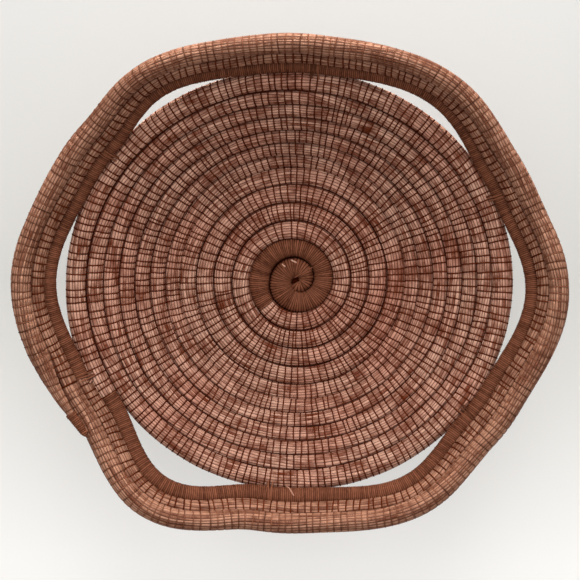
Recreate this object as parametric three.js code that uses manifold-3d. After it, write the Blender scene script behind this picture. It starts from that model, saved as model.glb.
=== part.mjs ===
// A coiled pine-needle tray: one long bundle of needles winds outward from a thread-wrapped
// start into a flat floor, a sloping wall and an openwork rim of three rounds.
// Millimetres, +Z up. The tray stands on its floor, with the middle of its outline at the origin.
import * as THREE from "three";
import Module from "manifold-3d";

const DEGREE = Math.PI / 180;
const FULL_TURN = 2 * Math.PI;

// Bundle of needles, thread and the gaps between them
const BUNDLE_DIAMETER = 9.8; // bare bundle, over the corners of its section
const WRAP_SQUEEZE = 1.1; // how far a wrap of thread presses the bundle in, all round
const WRAP_THICKNESS = 0.9;
const CLEARANCE = 0.3; // between pieces that touch
const ROUND_GAP = 0.6; // between neighbouring rounds of the floor and wall
const RIM_GAP = 1.2; // between neighbouring rounds of the rim, where they run aslant
const FLAT_DEPTH = 1; // taken off the underside, so that the tray stands flat

// Rounds, counted in turns along the coil
const START_RADIUS = 5.6; // middle of the bundle at turn nought
const START_TUCK = 2.5; // how far the first turn is drawn in, to close round the inner end
const START_TURN = -0.15; // inner end of the coil
const FLOOR_START = 1.614;
const FLOOR_TURNS = 3.7;
const LOWER_WALL_TURNS = 3.63;
const UPPER_WALL_TURNS = 3.63;
const RIM_TURNS = 2.025;

// Profile of the tray, followed from the floor to the rim
const BEND_RADIUS = 16;
const WALL_SLOPE = 45.2 * DEGREE;
const SHOULDER_SLOPE = 31 * DEGREE;
const SHOULDER_WIDTH = 12.7;
const RIM_SLOPE = 62.5 * DEGREE; // at the feet of the arches
const OVAL_SLOPE = 3.9 * DEGREE; // flatter than the mean at the sides, steeper at front and back

// Openwork arches in the order of the coil: how far each stands off, and where along it is highest
const ARCH_RISES = [15.4, 8, 9.1, 7.4, 7, 7.4];
const ARCH_PEAKS = [0.51, 0.56, 0.53, 0.44, 0.61, 0.54];
const ARCH_REST = 0.08; // share of each arch that rests on the wall at either foot
const ARCH_TILT = 3.6 * DEGREE; // how much steeper the rim stands over the top of an arch

// Lashings that tie the openwork round to the wall
const LASHING_WIDTH = 6;
const LASHING_THICKNESS = 0.7;
const LASHING_CLEARANCE = 0.4; // round the bundles, which run through it at a slight angle
const LASHING_SETBACK = 0.8; // from a lashing to the wrap beside it, which leaves it at an angle
const LASHING_BITE = 3.5; // how deep it goes into the edge of the last wall round

// Tapered ends of the coil
const START_TIP_DIAMETER = 7.4;
const START_TAPER_TURNS = 0.65;
const END_TIP_DIAMETER = 1.4;
const END_TAPER_TURNS = 0.06;
const END_WRAP_TURNS = 0.016;

// Facets
const SECTION_SIDES = 6;
const COIL_STEPS = 24; // in a turn of the start, floor and wall
const ARCH_STEPS = 10; // along each arch of the openwork, and on the rim above it
const LASHING_ARC_STEPS = 6; // round each end of a lashing

// Sizes that follow from the ones above
const CORE_DIAMETER = BUNDLE_DIAMETER - 2 * WRAP_SQUEEZE; // bundle under a wrap of thread
const WRAPPED_DIAMETER = CORE_DIAMETER + 2 * (CLEARANCE + WRAP_THICKNESS);
const WIDEST_DIAMETER = Math.max(BUNDLE_DIAMETER, WRAPPED_DIAMETER);
const ROUND_PITCH = WIDEST_DIAMETER + ROUND_GAP;
const RIM_PITCH = WIDEST_DIAMETER + RIM_GAP;
const WALL_START = FLOOR_START + FLOOR_TURNS;
const UPPER_WALL_START = WALL_START + LOWER_WALL_TURNS;
const OPENWORK_START = UPPER_WALL_START + UPPER_WALL_TURNS;
const COIL_END = OPENWORK_START + 1 + RIM_TURNS;
const RIM_STEPS = ARCH_STEPS * ARCH_RISES.length;
const FLOOR_HEIGHT = BUNDLE_DIAMETER / 2 - FLAT_DEPTH; // middle of the floor rounds
const LASHING_ROUNDNESS = Math.cos(Math.PI / (2 * LASHING_ARC_STEPS));
const LASHING_INNER_RADIUS = (CORE_DIAMETER / 2 + LASHING_CLEARANCE) / LASHING_ROUNDNESS;
const FLOOR_RUN = runAt(WALL_START);
const SHOULDER_RUN = runAt(OPENWORK_START) - SHOULDER_WIDTH / 2;
const RIM_RUN = SHOULDER_RUN + SHOULDER_WIDTH;

// Radius of the rim rounds, which taper at the outer end of the coil.
function rimRadius(turn) {
  const share = THREE.MathUtils.clamp((COIL_END - turn) / END_TAPER_TURNS, 0, 1);
  return THREE.MathUtils.lerp(END_TIP_DIAMETER, BUNDLE_DIAMETER, share) / 2;
}

// Distance along the profile, from the pole of the coil, at a number of turns. The first turn is
// tucked in, and the tapered end sinks towards the round below it by what its wrap leaves free.
function runAt(turn) {
  const below = Math.min(turn, OPENWORK_START);
  const above = Math.max(turn - OPENWORK_START, 0);
  const wrapped = rimRadius(turn) + CLEARANCE + WRAP_THICKNESS;
  const sunk = Math.max(BUNDLE_DIAMETER / 2 - wrapped, 0);
  const tucked = turn < 1 ? START_TUCK * Math.sin(Math.PI * turn) ** 2 : 0;
  return START_RADIUS + ROUND_PITCH * below + RIM_PITCH * above - sunk - tucked;
}

// Radius and height at a distance along the profile: floor, bend, wall, shoulder, rim.
function profile(run, azimuth) {
  const oval = OVAL_SLOPE * Math.cos(2 * azimuth);
  const wallSlope = WALL_SLOPE - oval;
  const rimSlope = RIM_SLOPE - oval + ARCH_TILT * archAt(azimuth / FULL_TURN).share;
  const wallRun = FLOOR_RUN + BEND_RADIUS * wallSlope;
  const bend = THREE.MathUtils.clamp(run - FLOOR_RUN, 0, wallRun - FLOOR_RUN) / BEND_RADIUS;
  const wall = THREE.MathUtils.clamp(run - wallRun, 0, SHOULDER_RUN - wallRun);
  const shoulder = THREE.MathUtils.clamp(run - SHOULDER_RUN, 0, SHOULDER_WIDTH);
  const rim = Math.max(run - RIM_RUN, 0);
  const radius =
    Math.min(run, FLOOR_RUN) +
    BEND_RADIUS * Math.sin(bend) +
    wall * Math.cos(wallSlope) +
    shoulder * Math.cos(SHOULDER_SLOPE) +
    rim * Math.cos(rimSlope);
  const height =
    FLOOR_HEIGHT +
    BEND_RADIUS * (1 - Math.cos(bend)) +
    wall * Math.sin(wallSlope) +
    shoulder * Math.sin(SHOULDER_SLOPE) +
    rim * Math.sin(rimSlope);
  return { radius, height };
}

// Share of the risen part of an arch at a share of the whole arch.
function risenShare(share) {
  return THREE.MathUtils.clamp((share - ARCH_REST) / (1 - 2 * ARCH_REST), 0, 1);
}

// The arch at a number of turns and the share of its rise there, which repeat with every turn: a
// squared sine between its two resting feet, leaning to its peak.
function archAt(turn) {
  const arches = (turn - OPENWORK_START) * ARCH_RISES.length;
  const arch = THREE.MathUtils.euclideanModulo(Math.floor(arches), ARCH_RISES.length);
  const lean = Math.log(0.5) / Math.log(risenShare(ARCH_PEAKS[arch]));
  const share = risenShare(arches - Math.floor(arches)) ** lean;
  return { arch, share: Math.sin(Math.PI * share) ** 2 };
}

// How far the arches lift the rim away from the wall.
function archRise(turn) {
  if (turn <= OPENWORK_START) return 0;
  const { arch, share } = archAt(turn);
  return ARCH_RISES[arch] * share;
}

// Middle of the bundle at a number of turns, measured from the pole of the coil.
function pointFromPole(turn) {
  const azimuth = FULL_TURN * turn;
  const { radius, height } = profile(runAt(turn), azimuth);
  const rise = archRise(turn);
  const reach = radius + rise * Math.cos(SHOULDER_SLOPE);
  return new THREE.Vector3(
    reach * Math.cos(azimuth),
    reach * Math.sin(azimuth),
    height + rise * Math.sin(SHOULDER_SLOPE),
  );
}

// The pole lies where the outermost round is centred on the origin.
const outline = new THREE.Box3();
for (let step = 0; step < RIM_STEPS; step += 1) {
  outline.expandByPoint(pointFromPole(COIL_END - step / RIM_STEPS));
}
const POLE = outline.getCenter(new THREE.Vector3()).negate().setZ(0);

// Middle of the bundle with the directions along it, away from the pole and out of the tray's face.
function coilFrame(turn) {
  const azimuth = FULL_TURN * turn;
  const centre = pointFromPole(turn).add(POLE);
  const small = 1e-4;
  const along = pointFromPole(turn + small).sub(pointFromPole(turn - small)).normalize();
  const inner = profile(runAt(turn) - ROUND_PITCH / 2, azimuth);
  const outer = profile(runAt(turn) + ROUND_PITCH / 2, azimuth);
  const slope = Math.atan2(outer.height - inner.height, outer.radius - inner.radius);
  const facing = new THREE.Vector3(
    -Math.sin(slope) * Math.cos(azimuth),
    -Math.sin(slope) * Math.sin(azimuth),
    Math.cos(slope),
  );
  facing.addScaledVector(along, -facing.dot(along)).normalize();
  const outward = new THREE.Vector3().crossVectors(along, facing);
  return { centre, along, outward, facing };
}

// A length along the coil, in turns, near a given place.
function asTurns(length, turn) {
  const point = pointFromPole(turn);
  return length / (FULL_TURN * Math.hypot(point.x, point.y));
}

// Places along a stretch of coil: its two ends and the regular steps between them, which are
// counted from the same origin on every round, so that neighbouring facets lie side by side.
function places(first, last, origin, steps) {
  const list = [first];
  const nearest = 0.3; // of a step, between an end and the next place
  const firstStep = Math.ceil((first - origin) * steps + nearest);
  const lastStep = Math.floor((last - origin) * steps - nearest);
  for (let step = firstStep; step <= lastStep; step += 1) list.push(origin + step / steps);
  list.push(last);
  return list;
}

function coilPlaces(first, last) {
  return places(first, last, 0, COIL_STEPS);
}

function rimPlaces(first, last) {
  return places(first, last, OPENWORK_START, RIM_STEPS);
}

// Corners of the bundle's section at each place, none of them below the floor.
function sectionRings(turns, radiusAt) {
  return turns.map((turn) => {
    const { centre, outward, facing } = coilFrame(turn);
    const radius = radiusAt(turn);
    const ring = [];
    for (let side = 0; side < SECTION_SIDES; side += 1) {
      const angle = (FULL_TURN * side) / SECTION_SIDES;
      const corner = centre
        .clone()
        .addScaledVector(outward, radius * Math.cos(angle))
        .addScaledVector(facing, radius * Math.sin(angle));
      corner.z = Math.max(corner.z, 0);
      ring.push(corner);
    }
    return ring;
  });
}

// Skin through a row of rings, facing away from the bundle, or into it when turned.
function skin(triangles, rings, turned) {
  for (let step = 0; step + 1 < rings.length; step += 1) {
    for (let side = 0; side < SECTION_SIDES; side += 1) {
      const next = (side + 1) % SECTION_SIDES;
      const a = rings[step][side];
      const b = rings[step][next];
      const c = rings[step + 1][next];
      const d = rings[step + 1][side];
      if (turned) triangles.push(a, b, c, a, c, d);
      else triangles.push(a, d, c, a, c, b);
    }
  }
}

// Flat end across a ring, facing back along the coil, or forward when turned.
function endFace(triangles, ring, turned) {
  for (let side = 1; side + 1 < ring.length; side += 1) {
    if (turned) triangles.push(ring[0], ring[side + 1], ring[side]);
    else triangles.push(ring[0], ring[side], ring[side + 1]);
  }
}

// Flat end between an outer and an inner ring, facing back along the coil, or forward when turned.
function hollowEnd(triangles, outer, inner, turned) {
  for (let side = 0; side < SECTION_SIDES; side += 1) {
    const next = (side + 1) % SECTION_SIDES;
    const a = outer[side];
    const b = outer[next];
    const c = inner[next];
    const d = inner[side];
    if (turned) triangles.push(a, d, c, a, c, b);
    else triangles.push(a, b, c, a, c, d);
  }
}

function geometryOf(triangles) {
  return new THREE.BufferGeometry().setFromPoints(triangles);
}

// Solid stretch of bundle.
function bundle(turns, radiusAt) {
  const rings = sectionRings(turns, radiusAt);
  const triangles = [];
  skin(triangles, rings, false);
  endFace(triangles, rings[0], false);
  endFace(triangles, rings[rings.length - 1], true);
  return { geometry: geometryOf(triangles), rings, turns };
}

// Thread wound round a stretch of bundle, as a sleeve that may be closed at either end.
function wrap(outerTurns, innerTurns, outerAt, innerAt, closed) {
  const outer = sectionRings(outerTurns, outerAt);
  const inner = sectionRings(innerTurns, innerAt);
  const triangles = [];
  skin(triangles, outer, false);
  skin(triangles, inner, true);
  const outerLast = outer[outer.length - 1];
  const innerLast = inner[inner.length - 1];
  if (closed.first) {
    endFace(triangles, outer[0], false);
    endFace(triangles, inner[0], true);
  } else {
    hollowEnd(triangles, outer[0], inner[0], false);
  }
  if (closed.last) {
    endFace(triangles, outerLast, true);
    endFace(triangles, innerLast, false);
  } else {
    hollowEnd(triangles, outerLast, innerLast, true);
  }
  return { geometry: geometryOf(triangles), rings: outer, turns: outerTurns };
}

// Outline of a lashing round two neighbouring bundles, its ends centred a spacing apart.
function lashingOutline(spacing, radius) {
  const points = [];
  for (const end of [0, 1]) {
    for (let step = 0; step <= LASHING_ARC_STEPS; step += 1) {
      const angle = Math.PI * (end - 0.5 + step / LASHING_ARC_STEPS);
      const middle = (end === 0 ? spacing : -spacing) / 2;
      points.push(new THREE.Vector2(middle + radius * Math.cos(angle), radius * Math.sin(angle)));
    }
  }
  return points;
}

// Band of thread round the openwork round, biting into the edge of the round below it, one turn earlier.
function lashing(turn, innerRadius, outerRadius, width) {
  const upper = coilFrame(turn);
  const lower = coilFrame(turn - 1);
  const along = upper.along;
  const across = upper.centre.clone().sub(lower.centre);
  across.addScaledVector(along, -across.dot(along));
  const spacing = across.length() - BUNDLE_DIAMETER / 2 + LASHING_BITE - LASHING_INNER_RADIUS;
  across.normalize();
  const facing = new THREE.Vector3().crossVectors(along, across);
  const shape = new THREE.Shape(lashingOutline(spacing, outerRadius));
  shape.holes.push(new THREE.Path(lashingOutline(spacing, innerRadius)));
  const middle = upper.centre.clone().addScaledVector(across, -spacing / 2);
  const place = new THREE.Matrix4().makeBasis(across, facing, along).setPosition(middle);
  return new THREE.ExtrudeGeometry(shape, { depth: width, bevelEnabled: false })
    .translate(0, 0, -width / 2)
    .applyMatrix4(place);
}

// Least distance from a corner of a bundle to an edge that lies half a turn or more further along.
function leastGap({ rings, turns }) {
  const edge = new THREE.Line3();
  const nearest = new THREE.Vector3();
  let least = Infinity;
  for (let one = 0; one < rings.length; one += 1) {
    for (let other = one + 1; other + 1 < rings.length; other += 1) {
      if (turns[other] - turns[one] < 0.5) continue;
      for (const corner of rings[one]) {
        for (let side = 0; side < SECTION_SIDES; side += 1) {
          edge.set(rings[other][side], rings[other + 1][side]);
          edge.closestPointToPoint(corner, true, nearest);
          least = Math.min(least, corner.distanceTo(nearest));
        }
      }
    }
  }
  return least;
}

const manifold = await Module();
manifold.setup();

function solidOf(geometry) {
  const points = geometry.getAttribute("position");
  const numbers = new Map();
  const vertices = [];
  const corners = [];
  for (let corner = 0; corner < points.count; corner += 1) {
    const place = [points.getX(corner), points.getY(corner), points.getZ(corner)];
    const key = place.map((value) => value.toFixed(4)).join();
    if (!numbers.has(key)) {
      numbers.set(key, numbers.size);
      vertices.push(...place);
    }
    corners.push(numbers.get(key));
  }
  return new manifold.Manifold(
    new manifold.Mesh({
      numProp: 3,
      vertProperties: new Float32Array(vertices),
      triVerts: new Uint32Array(corners),
    }),
  );
}

function geometryFrom(solid) {
  const mesh = solid.getMesh();
  const geometry = new THREE.BufferGeometry();
  geometry.setAttribute("position", new THREE.BufferAttribute(mesh.vertProperties, 3));
  geometry.setIndex(new THREE.BufferAttribute(mesh.triVerts, 1));
  return geometry;
}

const NEEDLES = 0xa8785c;
const THREAD = 0x5c3222;
const tray = new THREE.Group();

function add(name, geometry, colour) {
  const material = new THREE.MeshStandardMaterial({ color: colour, roughness: 0.8 });
  const mesh = new THREE.Mesh(geometry, material);
  mesh.name = name;
  tray.add(mesh);
}

const bundleRadius = () => BUNDLE_DIAMETER / 2;
const coreRadius = () => CORE_DIAMETER / 2;
const wrappedRadius = () => WRAPPED_DIAMETER / 2;
const wrapInnerRadius = () => WRAPPED_DIAMETER / 2 - WRAP_THICKNESS;
const afterGap = (turn) => turn + asTurns(CLEARANCE / 2, turn);
const beforeGap = (turn) => turn - asTurns(CLEARANCE / 2, turn);

// Wrapped start, growing from its tip to the full wrapped size
const startRadius = (turn) => {
  const share = Math.min((turn - START_TURN) / START_TAPER_TURNS, 1);
  return THREE.MathUtils.lerp(START_TIP_DIAMETER, WRAPPED_DIAMETER, share) / 2;
};
const startLast = beforeGap(FLOOR_START);
const startInside = START_TURN + asTurns(WRAP_THICKNESS, START_TURN);
const startWrap = wrap(
  coilPlaces(START_TURN, startLast),
  coilPlaces(startInside, startLast),
  startRadius,
  (turn) => startRadius(turn) - WRAP_THICKNESS,
  { first: true, last: false },
);
const startCore = bundle(
  coilPlaces(startInside + asTurns(CLEARANCE, START_TURN), startLast),
  (turn) => startRadius(turn) - WRAP_THICKNESS - CLEARANCE,
);
add("start_wrap", startWrap.geometry, THREAD);
add("start_core", startCore.geometry, NEEDLES);

// Floor and wall rounds
const bareCoil = (first, last) => bundle(coilPlaces(afterGap(first), beforeGap(last)), bundleRadius);
const floorCoil = bareCoil(FLOOR_START, WALL_START);
const lowerWall = bareCoil(WALL_START, UPPER_WALL_START);
const upperWall = bareCoil(UPPER_WALL_START, OPENWORK_START);
add("floor_coil", floorCoil.geometry, NEEDLES);
add("lower_wall_coil", lowerWall.geometry, NEEDLES);

// Lashings run through slots in the edge of the last wall round
const lashingOuter = LASHING_INNER_RADIUS + LASHING_THICKNESS;
const slotInner = CORE_DIAMETER / 2;
const slotOuter = lashingOuter + CLEARANCE;
const lashingTurns = ARCH_RISES.map((rise, arch) => {
  const foot = OPENWORK_START + (arch + 1) / ARCH_RISES.length;
  return foot - asTurns(LASHING_WIDTH, foot);
});
let slottedWall = solidOf(upperWall.geometry);
lashingTurns.forEach((turn, index) => {
  const slot = lashing(turn, slotInner, slotOuter, LASHING_WIDTH + 2 * CLEARANCE);
  slottedWall = slottedWall.subtract(solidOf(slot));
  const band = lashing(turn, LASHING_INNER_RADIUS, lashingOuter, LASHING_WIDTH);
  add(`lashing_${index + 1}`, band, THREAD);
});
add("upper_wall_coil", geometryFrom(slottedWall), NEEDLES);

// Openwork round: a core that runs on through the lashings, wrapped with thread on each arch
const besideLashing = LASHING_WIDTH / 2 + LASHING_SETBACK;
const pastLashing = (turn) => turn + asTurns(besideLashing, turn);
const shortOfLashing = (turn) => turn - asTurns(besideLashing, turn);
const openworkEnd = pastLashing(lashingTurns[lashingTurns.length - 1]);
const openworkTurns = [];
lashingTurns.forEach((turn, index) => {
  const first = index === 0 ? afterGap(OPENWORK_START) : pastLashing(lashingTurns[index - 1]);
  const turns = rimPlaces(first, shortOfLashing(turn));
  const sleeve = wrap(turns, turns, wrappedRadius, wrapInnerRadius, { first: false, last: false });
  add(`arch_wrap_${index + 1}`, sleeve.geometry, THREAD);
  openworkTurns.push(...turns, turn);
});
openworkTurns.push(beforeGap(openworkEnd));
add("openwork_core", bundle(openworkTurns, coreRadius).geometry, NEEDLES);

// Rim rounds, tapering to a wrapped end
const rimCoil = bundle(rimPlaces(afterGap(openworkEnd), COIL_END), rimRadius);
add("rim_coil", rimCoil.geometry, NEEDLES);
const endWrapStart = COIL_END - END_WRAP_TURNS;
const endWrapInside = COIL_END + asTurns(CLEARANCE, COIL_END);
const endWrapLast = endWrapInside + asTurns(WRAP_THICKNESS, COIL_END);
const endWrap = wrap(
  rimPlaces(endWrapStart, endWrapLast),
  rimPlaces(endWrapStart, endWrapInside),
  (turn) => rimRadius(turn) + CLEARANCE + WRAP_THICKNESS,
  (turn) => rimRadius(turn) + CLEARANCE,
  { first: false, last: true },
);
add("rim_end_wrap", endWrap.geometry, THREAD);

const coils = {
  start_wrap: startWrap,
  floor_coil: floorCoil,
  lower_wall_coil: lowerWall,
  upper_wall_coil: upperWall,
  rim_coil: rimCoil,
};
for (const [name, coil] of Object.entries(coils)) {
  console.log(`${name}: least gap to itself ${leastGap(coil).toFixed(2)} mm`);
}

export default tray;
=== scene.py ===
import math
from collections import namedtuple

import bpy
import numpy as np
from bpy.props import FloatProperty, FloatVectorProperty, IntProperty, PointerProperty
from mathutils import Matrix, Vector


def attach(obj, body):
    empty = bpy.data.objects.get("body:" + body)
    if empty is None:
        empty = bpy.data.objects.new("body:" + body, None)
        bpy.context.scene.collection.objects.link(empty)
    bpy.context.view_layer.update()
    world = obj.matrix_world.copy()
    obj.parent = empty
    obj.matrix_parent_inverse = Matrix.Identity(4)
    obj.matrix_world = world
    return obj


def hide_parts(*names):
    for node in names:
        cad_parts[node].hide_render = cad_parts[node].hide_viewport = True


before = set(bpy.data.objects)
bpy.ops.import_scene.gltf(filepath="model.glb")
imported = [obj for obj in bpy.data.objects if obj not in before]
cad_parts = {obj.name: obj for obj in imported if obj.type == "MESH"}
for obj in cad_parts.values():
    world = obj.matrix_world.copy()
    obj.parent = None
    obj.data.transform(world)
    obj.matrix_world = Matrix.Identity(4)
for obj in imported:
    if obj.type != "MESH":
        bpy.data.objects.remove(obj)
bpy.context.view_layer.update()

bl_info = {
    "name": "Coiled Tray",
    "version": (1, 0, 0),
    "blender": (4, 5, 0),
    "location": "View3D > Sidebar > Coiled Tray",
    "description": "Dresses the solids of a coiled needle tray with needles, stitches and wound thread",
    "category": "Object",
}

FULL_TURN = 2 * math.pi
DEGREE = math.pi / 180
UPWARD = np.array([0, 0, 1.0])
BODY = "root"

# Course of the coil, as in the solids, in metres and in turns from the pole
BUNDLE_RADIUS = 0.0049
END_TIP_RADIUS = 0.0007
END_TAPER_TURNS = 0.06
WRAP_OVER = 0.0012  # from a bundle to the outside of the thread wound over it
WRAPPED_RADIUS = 0.005
CORE_RADIUS = 0.0038
ROUND_PITCH = 0.0106
RIM_PITCH = 0.0112
START_RADIUS = 0.0056
START_TUCK = 0.0025
FLOOR_START = 1.614
WALL_START = 5.314
UPPER_WALL_START = 8.944
OPENWORK_START = 12.574
FIRST_WINDING = 12.586  # where the thread starts to cover the openwork round
COIL_END = 15.599
END_WRAP_TURNS = 0.016

# Half width of the wound start at a few turns, from its blunt end to the first bare needles
START_TURNS = np.array([-0.27, 0, 0.25, 0.5, 0.62, 0.75, 1, 1.25, 1.5, FLOOR_START])
START_HALF_WIDTHS = np.array([0.0044, 0.0046, 0.0062, 0.0067, 0.0072, 0.0066, 0.006, 0.0054, 0.0065, 0.0056])
START_HALF_HEIGHT = 0.0049
EYE_RADIUS = 0.0003

# Thread and needle tips laid over the first curl: where each starts and stops beside the pole
CURL_THREADS = (((0.0102, 0.0078), (-0.0012, 0.0012)),)
NEEDLE_TIPS = (((-0.0078, 0.0094), (-0.0056, 0.0076)), ((-0.0026, 0.0118), (0.0008, 0.0102)))

# Profile of the tray, from the floor to the rim
FLOOR_HEIGHT = 0.0039
FLOOR_RUN = 0.0619284
BEND_RADIUS = 0.016
WALL_SLOPE = 45.2 * DEGREE
SHOULDER_RUN = 0.1325344
SHOULDER_WIDTH = 0.0127
SHOULDER_SLOPE = 31 * DEGREE
RIM_SLOPE = 62.5 * DEGREE
OVAL_SLOPE = 3.9 * DEGREE

# Openwork arches in the order of the coil, and the lashings before their far feet
ARCH_RISES = np.array([0.0154, 0.008, 0.0091, 0.0074, 0.007, 0.0074])
ARCH_PEAKS = np.array([0.51, 0.56, 0.53, 0.44, 0.61, 0.54])
ARCH_REST = 0.08
ARCH_TILT = 3.6 * DEGREE
ARCH_COUNT = len(ARCH_RISES)
LASHING_SETBACK = 0.006
BESIDE_LASHING = 0.0038
LASHING_BITE = 0.0035
BITE_RADIUS = 0.0044

# Loose needle ends: the lashing that holds each, how far past it they start and stop, and the angles there
NeedleEnd = namedtuple("NeedleEnd", "lashing start stop start_angle stop_angle")
NEEDLE_ENDS = (
    NeedleEnd(1, 0.0095, 0.0145, 2.9, 1.3),
    NeedleEnd(6, 0.0015, 0.0045, 2.9, 1.5),
)
NEEDLE_END_THICKNESS = 0.0008

# Points across one needle or winding, and how deep in the groove each lies
STRAND_SHARES = np.array([0, 0.24, 0.76])
STRAND_GROOVES = np.array([1.0, 0, 0])

# How far a winding leans along the coil
WINDING_LEAN = 0.0004
START_WINDING_LEAN = 0.0003

# Cosine of the angle round a bundle past which its sides darken towards the seams: painted shade between
# rounds
SEAM_SHADE_START = 0.74
INNER_RIM_SEAM_SHADE = 0.8
OUTER_RIM_SEAM_SHADE = 0.86
WOUND_START_SEAM_SHADE = 0.84
NO_SEAM_SHADE = 1.0

# Slow changes along the coil: the height of a mean of sine waves, and their shortest and longest lengths
Wave = namedtuple("Wave", "height shortest longest")
BUNDLE_TWIST = Wave(0.6, 0.12, 0.4)
NEEDLE_WANDER = Wave(0.36, 0.02, 0.08)
NEEDLE_LIFT = Wave(0.5, 0.03, 0.1)
NEEDLE_TINT = Wave(0.65, 0.01, 0.06)
EDGE_NEEDLE_TINT = Wave(0.65, 0.03, 0.12)
LEAN_CHANGE = Wave(0.35, 0.015, 0.05)
SIZE_CHANGE = Wave(0.025, 0.05, 0.2)

# Finishes: streaks to a metre of strand, least roughness, strength of the bump, and shine
Finish = namedtuple("Finish", "streak_scale roughness bump shine")
NEEDLE_FINISH = Finish(90.0, 0.35, 0.3, 0.12)
WRAP_FINISH = Finish(400.0, 0.45, 0.2, 0.04)
STITCH_FINISH = Finish(400.0, 0.5, 0.2, 0.0)
# The Groove colour is painted shade, for grooves, seams and the undersides of thread
STRAND_COLOURS = ("Dark", "Light", "Red", "Groove")

# Viewing place of the photograph
VIEW_DISTANCE = 1.0
VIEW_TILT_UP = 3.5 * DEGREE
VIEW_TILT_RIGHT = 2.55 * DEGREE
METRES_PER_PIXEL = 0.0005873
IMAGE_PIXELS = 580
POLE_PIXEL = (296.1, 279.5)

# Rings round the bundle: their turns, how far a stitch draws them in, and how far they lean and bow along it
Rings = namedtuple("Rings", "turn drawn slant bow")


def rim_radius(turn):
    """Radius of the rim rounds: the bundle's own, going in a straight line to the tip's at the outer end."""
    share = np.clip((COIL_END - turn) / END_TAPER_TURNS, 0, 1)
    return END_TIP_RADIUS + (BUNDLE_RADIUS - END_TIP_RADIUS) * share


def run_at(turn):
    """Distance along the profile: one pitch a turn, less a squared sine at first and the sunk tip."""
    sunk = np.maximum(BUNDLE_RADIUS - rim_radius(turn) - WRAP_OVER, 0)
    tucked = np.where(turn < 1, START_TUCK * np.sin(np.pi * turn) ** 2, 0)
    below = np.minimum(turn, OPENWORK_START)
    above = np.maximum(turn - OPENWORK_START, 0)
    return START_RADIUS + ROUND_PITCH * below + RIM_PITCH * above - sunk - tucked


def profile(run, azimuth):
    """Radius and height along the profile: flat floor, bend of constant radius, three straight slopes."""
    oval = OVAL_SLOPE * np.cos(2 * azimuth)
    wall_slope = WALL_SLOPE - oval
    rim_slope = RIM_SLOPE - oval + ARCH_TILT * arch_at(azimuth / FULL_TURN)[1]
    wall_run = FLOOR_RUN + BEND_RADIUS * wall_slope
    bend = np.clip(run - FLOOR_RUN, 0, wall_run - FLOOR_RUN) / BEND_RADIUS
    radius = np.minimum(run, FLOOR_RUN) + BEND_RADIUS * np.sin(bend)
    height = FLOOR_HEIGHT + BEND_RADIUS * (1 - np.cos(bend))
    slopes = (
        (np.clip(run - wall_run, 0, SHOULDER_RUN - wall_run), wall_slope),
        (np.clip(run - SHOULDER_RUN, 0, SHOULDER_WIDTH), SHOULDER_SLOPE),
        (np.maximum(run - SHOULDER_RUN - SHOULDER_WIDTH, 0), rim_slope),
    )
    for length, slope in slopes:
        radius = radius + length * np.cos(slope)
        height = height + length * np.sin(slope)
    return radius, height


def risen_share(share):
    """Share of the risen part of an arch at a share of the whole arch, with a resting foot at either end."""
    return np.clip((share - ARCH_REST) / (1 - 2 * ARCH_REST), 0, 1)


def arch_at(turn):
    """The arch at a turn and the share of its rise there: a squared sine between the resting feet of each
    sixth of a turn, with the share along it raised to a power that puts the highest place at the peak."""
    arches = (turn - OPENWORK_START) * ARCH_COUNT
    whole = np.floor(arches)
    arch = whole.astype(int) % ARCH_COUNT
    leans = np.log(0.5) / np.log(risen_share(ARCH_PEAKS))
    share = risen_share(arches - whole) ** leans[arch]
    return arch, np.sin(np.pi * share) ** 2


def arch_rise(turn):
    """How far the arches lift the rim away from the wall, nought before the openwork."""
    arch, share = arch_at(turn)
    return np.where(turn > OPENWORK_START, ARCH_RISES[arch] * share, 0)


def from_pole(turn):
    """Middle of the bundle: the profile's radius and height at the turn's azimuth, pushed out by the arch."""
    azimuth = FULL_TURN * turn
    radius, height = profile(run_at(turn), azimuth)
    rise = arch_rise(turn)
    reach = radius + rise * np.cos(SHOULDER_SLOPE)
    height = height + rise * np.sin(SHOULDER_SLOPE)
    return np.stack([reach * np.cos(azimuth), reach * np.sin(azimuth), height], -1)


def pole_place():
    """The pole lies where the box of the outermost round, taken at sixty places, is centred on the origin."""
    places = 60
    outline = from_pole(COIL_END - np.arange(places) / places)
    middle = (outline.min(0) + outline.max(0)) / 2
    return np.array([-middle[0], -middle[1], 0])


POLE = pole_place()


def unit(vectors):
    """Vectors of length one, each divided by its own length."""
    return vectors / np.linalg.norm(vectors, axis=-1, keepdims=True)


def dot(one, other):
    """Scalar products: the summed products of the coordinates."""
    return np.sum(one * other, axis=-1, keepdims=True)


def coil_frame(turn):
    """Middle of the bundle, the way along it by a small difference, the way outward across it, and the way
    out of the face. The way across is the product of the other two."""
    small = 1e-4
    azimuth = FULL_TURN * turn
    along = unit(from_pole(turn + small) - from_pole(turn - small))
    inner_radius, inner_height = profile(run_at(turn) - ROUND_PITCH / 2, azimuth)
    outer_radius, outer_height = profile(run_at(turn) + ROUND_PITCH / 2, azimuth)
    slope = np.arctan2(outer_height - inner_height, outer_radius - inner_radius)
    facing = np.stack([-np.sin(slope) * np.cos(azimuth), -np.sin(slope) * np.sin(azimuth), np.cos(slope)], -1)
    facing = unit(facing - dot(facing, along) * along)
    return from_pole(turn) + POLE, along, np.cross(along, facing), facing


def length_along(turn):
    """Running length of the coil at a rising row of turns: the summed distances between them."""
    steps = np.linalg.norm(np.diff(from_pole(turn), axis=0), axis=1)
    return np.concatenate([[0], np.cumsum(steps)])


def even_turns(first, last, spacing):
    """Turns that stand a given distance apart along the coil, with both ends among them."""
    fine_steps = 4000
    fine = np.linspace(first, last, fine_steps)
    length = length_along(fine)
    count = max(int(round(length[-1] / spacing)), 2)
    return np.interp(np.linspace(0, length[-1], count + 1), length, fine)


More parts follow.
